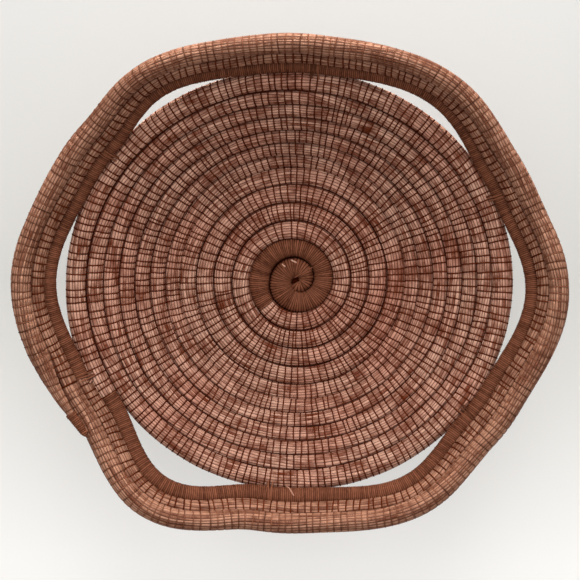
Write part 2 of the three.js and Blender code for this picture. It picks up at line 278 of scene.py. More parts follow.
def lap_length(turn):
    """Length of a whole turn at the reach that the bundle has at this one."""
    place = from_pole(np.array(turn))
    return FULL_TURN * math.hypot(place[0], place[1])


def as_turns(length, turn):
    """A short length along the coil, in turns."""
    return length / lap_length(turn)


def lashing_turn(number):
    """Turn of a lashing, a set length before the far foot of its arch."""
    foot = OPENWORK_START + number / ARCH_COUNT
    return foot - as_turns(LASHING_SETBACK, foot)


def waves(length, count, picker, wave):
    """For each strand, the mean of three sine waves of chosen lengths and phases, times the height."""
    sines = 3
    total = np.zeros((len(length), count))
    for _ in range(sines):
        wavelength = picker.uniform(wave.shortest, wave.longest, count)
        phase = picker.uniform(0, FULL_TURN, count)
        total += np.sin(FULL_TURN * length[:, None] / wavelength + phase)
    return wave.height * (total / sines)


def section(angle, half_width, half_height):
    """Places across and up a bundle at a polar angle, on a squarish oval whose shares' powers sum to one."""
    power = 2.2
    size = (np.abs(np.cos(angle)) ** power + np.abs(np.sin(angle)) ** power) ** (-1 / power)
    return half_width * size * np.cos(angle), half_height * size * np.sin(angle)


def lean_along(rings, angle):
    """How far a ring's point lies along the coil: its slant times the cosine plus its bow times the sine."""
    return rings.slant[:, None] * np.cos(angle) + rings.bow[:, None] * np.sin(angle)


def around_bundle(turn, across, up, shift):
    """Points so far across, up and along from the bundle's middle at each turn, none below the floor."""
    centre, along, outward, facing = coil_frame(turn)
    points = (
        centre[:, None]
        + outward[:, None] * across[..., None]
        + facing[:, None] * up[..., None]
        + along[:, None] * shift[..., None]
    )
    points[..., 2] = np.maximum(points[..., 2], 0)
    return points


def blunted(share, cut):
    """Share of the full size near a blunt end: the root of one less a part of the squared share to go."""
    return np.sqrt(1 - cut * (1 - np.clip(share, 0, 1)) ** 2)


def strand_values(shape, length, tint, groove):
    """For each point its length along the strand, the strand's tint, and how much painted shade it takes: the
    depth in a groove, darkening towards the seams or under thread.
    """
    return np.stack([np.broadcast_to(value, shape) for value in (length, tint, groove)], -1)


def thread_tube(path, away, side, radius, sides, length, tint):
    """Tubes along rows of points: a small circle spanned by the ways away from the bundle and to the side.
    The half that lies on the bundle is darkened with painted shade, as a groove is."""
    around = FULL_TURN * (np.arange(sides) + 0.5) / sides
    points = (
        path[:, :, None]
        + radius * np.cos(around)[:, None] * away[:, :, None]
        + radius * np.sin(around)[:, None] * side[:, :, None]
    )
    points[..., 2] = np.maximum(points[..., 2], 0)
    # Painted shade on the half that lies on the bundle
    groove = np.clip(-np.cos(around), 0, 1)
    return points, strand_values(points.shape[:3], length[:, None], tint[:, None, None], groove)


def stitch_turns(first, last, spacing, picker):
    """Turns of the stitches. Each round repeats the azimuths of the round inside it, takes a new stitch
    wherever two have come further apart than the limit, and evens them out. The last is at the far end."""
    limit = 1.3
    first_scatter = 0.15
    scatter = 0.08
    evening_steps = 4
    evening_share = 0.3
    count = int(lap_length(first + 0.5) / spacing)
    shares = (np.arange(count) + picker.uniform(-first_scatter, first_scatter, count)) / count
    rounds = []
    for lap in range(int(math.ceil(last - first))):
        length = lap_length(first + lap + 0.5)
        gaps = np.diff(np.append(shares, shares[0] + 1))
        wide = gaps * length > limit * spacing
        shares = np.sort(np.concatenate([shares, (shares + gaps / 2)[wide]]))
        for _ in range(evening_steps):
            after = np.diff(np.append(shares, shares[0] + 1))
            before = np.roll(after, 1)
            shares = shares + evening_share * (after - before)
        shares = shares + picker.normal(0, scatter, len(shares)) * spacing / length
        rounds.append(first + lap + shares)
    turns = np.sort(np.concatenate(rounds))
    edge = as_turns(spacing / 2, first)
    return np.append(turns[(turns > first + edge) & (turns < last - edge)], last)


def needle_rings(first, stitches, pinch):
    """Rings of the needle surface: one under each stitch, two between each pair, leaning as they do."""
    knots = np.append(first, stitches.turn)
    shares = np.array([0, 0.17, 0.83])
    turn = np.append((knots[:-1, None] + shares * np.diff(knots)[:, None]).ravel(), knots[-1])
    drawn = np.append(np.tile(pinch * (shares == 0), len(knots) - 1), pinch)
    slant = np.interp(turn, stitches.turn, stitches.slant)
    bow = np.interp(turn, stitches.turn, stitches.bow)
    return Rings(turn, drawn, slant, bow)


def needle_surface(
    rings, half_width, half_height, needles, depth, picker, tint_wave=NEEDLE_TINT, seam_shade_start=SEAM_SHADE_START,
    outer_seam_shade=True, pale_length=0,
):
    """Needles side by side round a bundle. The angle of each needle's edge wanders along the coil. Between
    two edges the section goes from a groove to the needle's crest and back. Each ring is drawn in and leans
    as given. Painted shade: both sides darken towards the seams, from the given cosine of the angle on, the
    outer one only where another round lies outside, and the grooves between needles and the rings under
    stitches darken too. The first stretch, of the pale length, is lighter."""
    middle_tint = 0.5
    pale_tint = 0.5
    ring_tint = 0.16
    cell_tint = 0.09
    seam_shade_fade = 0.17
    hollow_shade = 0.9
    pressed_shade = 0.7
    count = len(rings.turn)
    length = length_along(rings.turn)
    twist = waves(length, 1, picker, BUNDLE_TWIST)
    wander = waves(length, needles, picker, NEEDLE_WANDER)
    edge = (np.arange(needles) + wander) * FULL_TURN / needles + twist
    lift = depth * waves(length, needles, picker, NEEDLE_LIFT)
    tint = middle_tint + waves(length, needles, picker, tint_wave)
    tint += picker.normal(0, ring_tint, (count, needles))
    tint[length < pale_length] += pale_tint
    cell = np.cumsum(rings.drawn > 0)
    tint += picker.normal(0, cell_tint, cell[-1] + 1)[cell][:, None]
    following = np.roll(edge, -1, axis=1)
    following[:, -1] += FULL_TURN
    shape = (count, needles * len(STRAND_SHARES))
    angle = (edge[:, :, None] + STRAND_SHARES * (following - edge)[:, :, None]).reshape(shape)
    bump = (lift[:, :, None] - depth * STRAND_GROOVES).reshape(shape) - rings.drawn[:, None]
    across, up = section(angle, half_width[:, None] + bump, half_height[:, None] + bump)
    points = around_bundle(rings.turn, across, up, lean_along(rings, angle))
    # Painted shade: darker towards the seams, in the grooves between needles and in the rings under stitches
    side = np.abs(np.cos(angle)) if outer_seam_shade else -np.cos(angle)
    seam_shade = np.clip((side - seam_shade_start) / seam_shade_fade, 0, 1)
    hollow = hollow_shade * np.tile(STRAND_GROOVES, needles)
    pressed = pressed_shade * (rings.drawn > 0)[:, None]
    groove = np.maximum(np.maximum(hollow, seam_shade), pressed)
    tint = np.repeat(np.clip(tint, 0, 1), len(STRAND_SHARES), axis=1)
    return points[None], strand_values(shape, length[:, None], tint, groove)[None]


def stitch_surface(rings, half_width, half_height, radius, picker):
    """A closed loop of thread round the bundle at each stitch: the bundle's section as a thin tube."""
    corners = 12
    sides = 4
    angle = FULL_TURN * np.arange(corners) / corners
    across, up = section(angle, half_width[:, None], half_height[:, None])
    path = around_bundle(rings.turn, across, up, lean_along(rings, angle))
    _, along, outward, facing = coil_frame(rings.turn)
    away = outward[:, None] * np.cos(angle)[:, None] + facing[:, None] * np.sin(angle)[:, None]
    side = np.broadcast_to(-along[:, None], away.shape)
    tint = picker.uniform(0, 1, len(rings.turn))
    return thread_tube(path, away, side, radius, sides, angle * BUNDLE_RADIUS, tint)


def wound_surface(first, last, size_at, thread, picker, lean=WINDING_LEAN, seam_shade_start=NO_SEAM_SHADE):
    """Thread wound close round a bundle: for each winding a groove and two rings on its crest, each leaning
    along the coil by about the same length, with small differences of height and tint between windings. The
    rings are ovals whose inner side stops short of the pole. Painted shade darkens the grooves between
    windings, and both sides past the cosine given for the seams."""
    columns = 28
    lean_angle = 0.9
    lift_spread = 0.2
    tints = (0.2, 0.8)
    seam_shade_fade = 0.14
    depth = thread.wrap_depth
    knots = even_turns(first, last, thread.wrap_width)
    windings = len(knots) - 1
    turn = np.append((knots[:-1, None] + STRAND_SHARES * np.diff(knots)[:, None]).ravel(), last)
    groove = np.append(np.tile(STRAND_GROOVES, windings), 1.0)
    each = np.append(np.repeat(np.arange(windings), len(STRAND_SHARES)), windings - 1)
    lift = picker.normal(0, lift_spread * depth, windings)[each] * (1 - groove)
    tint = picker.uniform(*tints, windings)[each]
    uneven = 1 + waves(length_along(turn), 1, picker, LEAN_CHANGE)[:, 0]
    angle = FULL_TURN * np.arange(columns) / columns
    half_width, half_height = size_at(turn)
    place = from_pole(turn)
    inner_width = np.minimum(half_width, np.hypot(place[:, 0], place[:, 1]) - EYE_RADIUS)
    bump = lift - depth * groove
    reach = np.where(np.cos(angle) < 0, (inner_width + bump)[:, None], (half_width + bump)[:, None])
    rise = (half_height + bump)[:, None]
    shift = (lean * uneven)[:, None] * np.cos(angle - lean_angle)
    points = around_bundle(turn, reach * np.cos(angle), rise * np.sin(angle), shift)
    # Painted shade: darker in the grooves between windings and towards the seams
    seam_shade = np.clip((np.abs(np.cos(angle)) - seam_shade_start) / seam_shade_fade, 0, 1)
    shade = np.maximum(groove[:, None], seam_shade)
    strand = strand_values(points.shape[:2], angle * WRAPPED_RADIUS, tint[:, None], shade)
    return points[None], strand[None]


def lashing_surface(turn, thread, picker):
    """Loops of thread round the openwork round that bite into the edge of the round below it: half a circle
    round each end of the line from one to the other, each loop beside the last with a lean of its own."""
    arc_steps = 9
    sides = 6
    slack = 0.3
    scatter = 0.1
    lean_spread = 0.0008
    loops = thread.lashing_loops
    width = thread.lashing_width
    radius = thread.arch_radius
    half_thread = thread.stitch_thickness / 2
    upper, along, _, _ = coil_frame(np.array(turn))
    lower = coil_frame(np.array(turn - 1.0))[0]
    across = upper - lower
    across = across - dot(across, along) * along
    distance = float(np.linalg.norm(across))
    across = across / distance
    facing = np.cross(along, across)
    spacing = distance - BUNDLE_RADIUS + LASHING_BITE - BITE_RADIUS
    half_arc = np.linspace(-math.pi / 2, math.pi / 2, arc_steps)
    angle = np.concatenate([half_arc, half_arc + math.pi])
    end = np.repeat([0, -spacing], arc_steps)
    looseness = picker.uniform(0, slack * half_thread, loops)
    arc_radius = np.repeat([radius, BITE_RADIUS], arc_steps) + looseness[:, None]
    reach = end + arc_radius * np.cos(angle)
    rise = arc_radius * np.sin(angle)
    place = np.linspace(-width / 2, width / 2, loops) + picker.normal(0, scatter * width / loops, loops)
    lean = picker.normal(0, lean_spread, loops)
    shift = place[:, None] + lean[:, None] * reach / distance
    path = upper + across * reach[..., None] + facing * rise[..., None] + along * shift[..., None]
    away = np.broadcast_to(across * np.cos(angle)[:, None] + facing * np.sin(angle)[:, None], path.shape)
    side = np.broadcast_to(along, path.shape)
    tint = picker.uniform(0, 1, loops)
    return thread_tube(path, away, side, half_thread, sides, angle * radius, tint)


def needle_end_surface(radius, picker):
    """Loose needle ends tucked under the lashings and pressed to the openwork round: both the length along it
    and the angle round it change evenly from the lashing to the tip, just above the windings."""
    steps = 10
    sides = 6
    tints = (0.3, 0.6)
    half_thickness = NEEDLE_END_THICKNESS / 2
    share = np.linspace(0, 1, steps)
    turns = []
    angles = []
    for end in NEEDLE_ENDS:
        tied = lashing_turn(end.lashing)
        turns.append(tied + as_turns(end.start + share * (end.stop - end.start), tied))
        angles.append(end.start_angle + share * (end.stop_angle - end.start_angle))
    angle = np.array(angles)[..., None]
    centre, _, outward, facing = coil_frame(np.array(turns))
    away = outward * np.cos(angle) + facing * np.sin(angle)
    path = centre + away * (radius + half_thickness / 2)
    side = unit(np.cross(away, np.gradient(path, axis=1)))
    tint = picker.uniform(*tints, len(NEEDLE_ENDS))
    return thread_tube(path, away, side, half_thickness, sides, share * radius, tint)


def eye_surface(picker):
    """Thread drawn across the eye of the coil, under the first curl: a low dome turned about the pole."""
    columns = 32
    most_tint = 0.3
    # Painted shade over the whole eye thread, which lies under the first curl
    shade = 0.6
    radius = np.array([0.0005, 0.003, 0.007, 0.011, 0.0165, 0.0198, 0.0198, 0.008, 0.0005])
    height = np.array([0.0042, 0.0041, 0.0037, 0.0032, 0.0026, 0.0018, 0.0006, 0.0004, 0.0004])
    angle = FULL_TURN * np.arange(columns) / columns
    shape = (len(radius), columns)
    ring = np.stack([np.cos(angle), np.sin(angle), 0 * angle], -1)
    points = POLE + radius[:, None, None] * ring + height[:, None, None] * UPWARD
    strand = strand_values(shape, radius[:, None], picker.uniform(0, most_tint, shape), shade)
    return points[None], strand[None]


def laid_thread(ends, low, top, radius, picker):
    """Threads laid over the first curl, from one place beside the pole to another: straight as seen from
    above, and as high as a half sine to a low power between the two ends, which are sunk into the coil."""
    steps = 12
    sides = 6
    flatness = 0.4
    least_tint = 0.7
    share = np.linspace(0, 1, steps)
    first = np.array(ends)[:, 0]
    way = np.array(ends)[:, 1] - first
    flat = first[:, None] + share[:, None] * way[:, None]
    height = np.broadcast_to(low + (top - low) * np.sin(np.pi * share) ** flatness, flat.shape[:2])
    path = np.concatenate([flat + POLE[:2], height[..., None]], -1)
    along = unit(np.gradient(path, axis=1))
    side = unit(np.cross(UPWARD, along))
    tint = picker.uniform(least_tint, 1, len(first))
    length = share * np.linalg.norm(way, axis=1).mean()
    return thread_tube(path, np.cross(along, side), side, radius, sides, length, tint)


def grid_faces(strips, rows, columns, closed):
    """Quads of a number of like grids whose columns close round, and whose rows too where they are closed."""
    row = np.arange(rows if closed else rows - 1)
    column = np.arange(columns)
    here = row[:, None] * columns
    there = ((row + 1) % rows)[:, None] * columns
    beside = (column + 1) % columns
    quads = np.stack([here + column, there + column, there + beside, here + beside], -1).reshape(-1, 4)
    return (np.arange(strips)[:, None, None] * rows * columns + quads).reshape(-1, 4)


def add_piece(name, surface, material, nodes=(), closed=False):
    """A mesh from one or more grids of points. Open grids are closed at both ends by a fan round the ring's
    middle. The strand attribute holds each point's length along the strand, tint and painted shade, such as
    the depth in a groove."""
    points, strand = surface
    strips, rows, columns = points.shape[:3]
    vertices = points.reshape(-1, 3)
    values = strand.reshape(-1, 3)
    quads = grid_faces(strips, rows, columns, closed)
    corners = quads.ravel()
    starts = np.arange(len(quads)) * 4
    if not closed:
        middles = points[:, [0, -1]].mean(2).reshape(-1, 3)
        middle_values = strand[:, [0, -1]].mean(2).reshape(-1, 3)
        column = np.arange(columns)
        beside = (column + 1) % columns
        first_ring = np.arange(strips)[:, None] * rows * columns
        last_ring = first_ring + (rows - 1) * columns
        first_middle = len(vertices) + 2 * np.arange(strips)[:, None] + 0 * column
        fans = np.concatenate(
            [
                np.stack([first_middle, first_ring + column, first_ring + beside], -1).reshape(-1, 3),
                np.stack([first_middle + 1, last_ring + beside, last_ring + column], -1).reshape(-1, 3),
            ]
        )
        starts = np.concatenate([starts, len(corners) + np.arange(len(fans)) * 3])
        corners = np.concatenate([corners, fans.ravel()])
        vertices = np.concatenate([vertices, middles])
        values = np.concatenate([values, middle_values])
    mesh = bpy.data.meshes.new(name)
    mesh.vertices.add(len(vertices))
    mesh.vertices.foreach_set("co", vertices.astype(np.float32).ravel())
    mesh.loops.add(len(corners))
    mesh.loops.foreach_set("vertex_index", corners.astype(np.int32))
    mesh.polygons.add(len(starts))
    mesh.polygons.foreach_set("loop_start", starts.astype(np.int32))
    mesh.update(calc_edges=True)
    mesh.shade_smooth()
    attribute = mesh.attributes.new("strand", "FLOAT_VECTOR", "POINT")
    attribute.data.foreach_set("vector", values.astype(np.float32).ravel())
    mesh.materials.append(material)
    piece = bpy.data.objects.new(name, mesh)
    bpy.context.scene.collection.objects.link(piece)
    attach(piece, BODY)
    if nodes:
        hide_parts(*nodes)


def strand_group():
    """Colour, roughness and height of strands. The tint of a strand, fine streaks along it and small
    patches choose a colour between dark and light, and broad patches turn it redder. Where the strand has
    painted shade, in grooves, towards the seams and under thread, the colour goes to the groove colour, a
    painted shade, and the surface is rough."""
    name = "strand_shade"
    if name in bpy.data.node_groups:
        return bpy.data.node_groups[name]
    strand_step = 61.0
    tint_drop = 0.65
    streak_weight = 1.25
    patch_weight = 0.35
    red_contrast = 2.5
    red_drop = 1.0
    streak_roughness = 0.3
    group = bpy.data.node_groups.new(name, "ShaderNodeTree")
    nodes = group.nodes
    links = group.links
    sockets = (
        ("INPUT", "NodeSocketColor", STRAND_COLOURS),
        ("INPUT", "NodeSocketFloat", ("Streak Scale", "Least Roughness")),
        ("OUTPUT", "NodeSocketColor", ("Colour",)),
        ("OUTPUT", "NodeSocketFloat", ("Roughness", "Height")),
    )
    for direction, kind, names in sockets:
        for socket in names:
            group.interface.new_socket(socket, in_out=direction, socket_type=kind)

    def calculate(operation, *values, clamp=False):
        node = nodes.new("ShaderNodeMath")
        node.operation = operation
        node.use_clamp = clamp
        for socket, value in zip(node.inputs, values):
            if isinstance(value, (int, float)):
                socket.default_value = value
            else:
                links.new(value, socket)
        return node.outputs["Value"]

    def noise(vector, scale, detail):
        node = nodes.new("ShaderNodeTexNoise")
        node.inputs["Scale"].default_value = scale
        node.inputs["Detail"].default_value = detail
        links.new(vector, node.inputs["Vector"])
        return node.outputs["Fac"]

    def blend(factor, one, other):
        node = nodes.new("ShaderNodeMix")
        node.data_type = "RGBA"
        for socket, value in (("Factor", factor), ("A", one), ("B", other)):
            links.new(value, next(each for each in node.inputs if each.name == socket and each.enabled))
        return next(each for each in node.outputs if each.enabled)

    entry = nodes.new("NodeGroupInput").outputs
    result = nodes.new("NodeGroupOutput").inputs
    attribute = nodes.new("ShaderNodeAttribute")
    attribute.attribute_name = "strand"
    parts = nodes.new("ShaderNodeSeparateXYZ")
    links.new(attribute.outputs["Vector"], parts.inputs["Vector"])
    length, own_tint, groove = parts.outputs
    streak_place = nodes.new("ShaderNodeCombineXYZ")
    links.new(calculate("MULTIPLY", length, entry["Streak Scale"]), streak_place.inputs["X"])
    links.new(calculate("MULTIPLY", own_tint, strand_step), streak_place.inputs["Y"])
    place = nodes.new("ShaderNodeTexCoord")
    streak = noise(streak_place.outputs["Vector"], scale=1.0, detail=3.0)
    small_patch = noise(place.outputs["Object"], scale=60.0, detail=2.0)
    broad_patch = noise(place.outputs["Object"], scale=27.0, detail=1.0)
    tint = calculate("SUBTRACT", own_tint, tint_drop)
    tint = calculate("MULTIPLY_ADD", streak, streak_weight, tint)
    choice = calculate("MULTIPLY_ADD", small_patch, patch_weight, tint, clamp=True)
    redness = calculate("MULTIPLY_ADD", broad_patch, red_contrast, -red_drop, clamp=True)
    colour = blend(choice, entry["Dark"], blend(redness, entry["Light"], entry["Red"]))
    # Painted shade: the colour darkens to the groove colour by the strand's shade value
    links.new(blend(groove, colour, entry["Groove"]), result["Colour"])
    roughness = calculate("MULTIPLY_ADD", streak, streak_roughness, entry["Least Roughness"])
    links.new(calculate("MAXIMUM", roughness, groove), result["Roughness"])
    links.new(streak, result["Height"])
    return group


def strand_material(name, colours, finish):
    """Finish of needles or thread from the shared group, with a fine bump along the strand."""
    if name in bpy.data.materials:
        return bpy.data.materials[name]
    bump_distance = 0.0003
    material = bpy.data.materials.new(name)
    material.use_nodes = True
    nodes = material.node_tree.nodes
    links = material.node_tree.links
    shader = nodes["Principled BSDF"]
    shade = nodes.new("ShaderNodeGroup")
    shade.node_tree = strand_group()
    for socket, colour in zip(STRAND_COLOURS, colours):
        shade.inputs[socket].default_value = (*colour, 1)
    shade.inputs["Streak Scale"].default_value = finish.streak_scale
    shade.inputs["Least Roughness"].default_value = finish.roughness
    relief = nodes.new("ShaderNodeBump")
    relief.inputs["Strength"].default_value = finish.bump
    relief.inputs["Distance"].default_value = bump_distance
    links.new(shade.outputs["Height"], relief.inputs["Height"])
    links.new(shade.outputs["Colour"], shader.inputs["Base Color"])
    links.new(shade.outputs["Roughness"], shader.inputs["Roughness"])
    links.new(relief.outputs["Normal"], shader.inputs["Normal"])
    shader.inputs["Specular IOR Level"].default_value = finish.shine
    return material


def needle_material():
    """Needles of the floor, the wall and the loose ends."""
    look = bpy.context.scene.tray_needles
    colours = (look.dark_colour, look.light_colour, look.red_colour, look.groove_shade_colour)
    return strand_material("needle_finish", colours, NEEDLE_FINISH)


def rim_material():
    """Needles of the rim rounds."""
    look = bpy.context.scene.tray_needles
    colours = (look.rim_dark, look.rim_light, look.rim_light, look.groove_shade_colour)
    return strand_material("rim_finish", colours, NEEDLE_FINISH)


def wrap_material():
    """Wound thread, lashings and the stitches on the edge of the tray."""
    look = bpy.context.scene.tray_thread
    colours = (look.wrap_dark, look.wrap_light, look.wrap_light, look.groove_shade_colour)
    return strand_material("wound_thread", colours, WRAP_FINISH)


def stitch_material():
    """Dark thread of the other stitches and of the eye."""
    look = bpy.context.scene.tray_thread
    colours = (look.stitch_dark, look.stitch_light, look.stitch_light, look.groove_shade_colour)
    return strand_material("stitch_finish", colours, STITCH_FINISH)


def add_rounds(
    name, first, last, nodes, finish, seed, pitch=ROUND_PITCH, seam_shade_start=SEAM_SHADE_START, outer_seam_shade=True,
    edged=False, pale_length=0,
):
    """Bare needle rounds between two turns, with their stitches, which share one row of leanings. On the edge
    of the tray the grooves are deeper, and the stitches are thin and stand proud."""
    slant_spread = 0.00022
    bow_spread = 0.00025
    bedded = 0.3
    least_proud = 0.3
    needles = bpy.context.scene.tray_needles
    thread = bpy.context.scene.tray_thread
    depth = needles.edge_groove_depth if edged else needles.groove_depth
    tint_wave = EDGE_NEEDLE_TINT if edged else NEEDLE_TINT
    thickness = thread.edge_thickness if edged else thread.stitch_thickness
    proud = thread.edge_proud if edged else 0
    thread_finish = wrap_material() if edged else stitch_material()
    picker = np.random.default_rng(seed)
    turns = stitch_turns(first, last, thread.stitch_spacing, picker)
    slants = picker.normal(thread.stitch_slant, slant_spread, len(turns))
    bows = picker.normal(thread.stitch_bow, bow_spread, len(turns))
    stitches = Rings(turns, np.zeros(len(turns)), slants, bows)
    rings = needle_rings(first, stitches, needles.stitch_pinch)
    uneven = 1 + waves(length_along(rings.turn), 1, picker, SIZE_CHANGE)[:, 0]
    size = rim_radius(rings.turn) / BUNDLE_RADIUS * uneven
    width = needles.round_width / 2 * pitch / ROUND_PITCH * size
    height = needles.round_height / 2 * size
    surface = needle_surface(
        rings, width, height, needles.needle_count, depth, picker, tint_wave, seam_shade_start, outer_seam_shade,
        pale_length,
    )
    add_piece(f"{name}_rounds", surface, finish, nodes)
    sunk = needles.stitch_pinch - bedded * thickness
    stitch_width = np.interp(turns, rings.turn, width) - sunk
    stitch_width += proud * picker.uniform(least_proud, 1, len(turns))
    stitch_height = np.interp(turns, rings.turn, height) - sunk
    loops = stitch_surface(stitches, stitch_width, stitch_height, thickness / 2, picker)
    add_piece(f"{name}_stitches", loops, thread_finish, closed=True)


def length_setting(name, description, default):
    """A size that the user can change."""
    return FloatProperty(name=name, description=description, default=default, unit="LENGTH")


def power_setting(name, description, default):
    """The power of a lamp that the user can change."""
    return FloatProperty(name=name, description=description, default=default, unit="POWER")


def colour_setting(name, description, default):
    """A colour that the user can change."""
    return FloatVectorProperty(
        name=name, description=description, default=default, subtype="COLOR", min=0, max=1
    )


class TrayNeedles(bpy.types.PropertyGroup):
    """Needles of the bundle and how the stitches draw them in."""

    needle_count: IntProperty(
        name="Needles Round the Bundle", description="Needles that show round a bundle", default=20,
        min=8, max=40,
    )
    round_width: length_setting("Round Width", "Width of a round, across the coil", 0.0112)
    round_height: length_setting("Round Height", "Thickness of a round, out of the tray's face", 0.0098)
    groove_depth: length_setting("Groove Depth", "Depth of the groove between two needles", 0.00045)
    edge_groove_depth: length_setting(
        "Edge Groove Depth", "Depth of the groove between two needles of the outermost bundle", 0.0006
    )
    stitch_pinch: length_setting("Stitch Pinch", "How far a stitch draws the needles in", 0.00035)
    dark_colour: colour_setting("Dark Needles", "Colour of the darkest needles", (0.15, 0.029, 0.008))
    light_colour: colour_setting("Light Needles", "Colour of the lightest needles", (0.66, 0.37, 0.265))
    red_colour: colour_setting(
        "Red Needles", "Colour of the light needles in the redder patches", (0.58, 0.26, 0.18)
    )
    rim_dark: colour_setting(
        "Dark Rim Needles", "Colour of the darkest needles of the rim rounds", (0.125, 0.034, 0.014)
    )
    rim_light: colour_setting(
        "Light Rim Needles", "Colour of the lightest needles of the rim rounds", (0.435, 0.217, 0.139)
    )
    # Painted shade: the colour that grooves between needles, seams and rings under stitches darken to
    groove_shade_colour: colour_setting("Needle Grooves", "Colour between the needles", (0.045, 0.0065, 0.0018))


class TrayThread(bpy.types.PropertyGroup):
    """Thread of the stitches, the wound stretches and the lashings."""

    stitch_spacing: length_setting("Stitch Spacing", "Distance between stitches along the coil", 0.004)
    stitch_thickness: length_setting("Stitch Thickness", "Thickness of the stitching thread", 0.0009)
    stitch_slant: length_setting("Stitch Slant", "How far a stitch leans along the coil", 0.0002)
    stitch_bow: length_setting("Stitch Bow", "How far a stitch bows along the coil", 0.0002)
    edge_thickness: length_setting(
        "Edge Stitch Thickness", "Thickness of the thread round the outermost bundle", 0.0006
    )
    edge_proud: length_setting(
        "Edge Stitch Height", "Most that a stitch stands proud of the outermost bundle", 0.0006
    )
    wrap_width: length_setting("Winding Width", "Width of one winding of the wound thread", 0.0011)
    wrap_depth: length_setting("Winding Depth", "Depth of the groove between windings", 0.0003)
    arch_radius: length_setting("Arch Radius", "Radius over the thread wound on the arches", 0.0054)
    lashing_loops: IntProperty(
        name="Lashing Loops", description="Loops of thread in each lashing", default=3, min=1, max=12
    )
    lashing_width: length_setting("Lashing Width", "Width of a lashing along the coil", 0.003)
    wrap_dark: colour_setting(
        "Dark Wound Thread", "Darkest colour of the wound thread", (0.065, 0.0195, 0.009)
    )
    wrap_light: colour_setting(
        "Light Wound Thread", "Lightest colour of the wound thread", (0.25, 0.09, 0.048)
    )
    stitch_dark: colour_setting("Dark Stitches", "Darkest colour of the stitches", (0.062, 0.009, 0.002))
    stitch_light: colour_setting("Light Stitches", "Lightest colour of the stitches", (0.12, 0.023, 0.007))
    # Painted shade: the colour that grooves between windings, seams and the undersides of thread darken to
    groove_shade_colour: colour_setting("Thread Grooves", "Colour between the windings", (0.03, 0.004, 0.001))


class TrayStage(bpy.types.PropertyGroup):
    """Floor and lights."""

    front_colour: colour_setting(
        "Front of the Floor", "Colour of the floor towards the front", (0.985, 0.97, 0.945)
    )
    # Painted shade: the floor is darker in the middle, under the tray
    middle_shade_colour: colour_setting(
        "Middle of the Floor", "Colour of the floor under the tray", (0.7, 0.69, 0.66)
    )
    back_colour: colour_setting(
        "Back of the Floor", "Colour of the floor towards the back", (0.77, 0.76, 0.74)
    )
    floor_glow: FloatProperty(
        name="Floor Glow", description="Share of the floor's own colour that the camera sees unshaded",
        default=0.65, min=0, max=1, subtype="FACTOR",
    )
    key_power: power_setting("Key Light", "Power of the key light", 14.0)
    low_power: power_setting("Low Light", "Power of the low light that grazes the rim", 1.6)
    fill_power: power_setting("Fill Light", "Power of the fill light", 6.2)
    sky_strength: FloatProperty(
        name="Room Light", description="Strength of the even light from all round", default=0.43
    )
    backdrop_strength: FloatProperty(
        name="Backdrop", description="Brightness of the room that is seen past the floor", default=0.78
    )


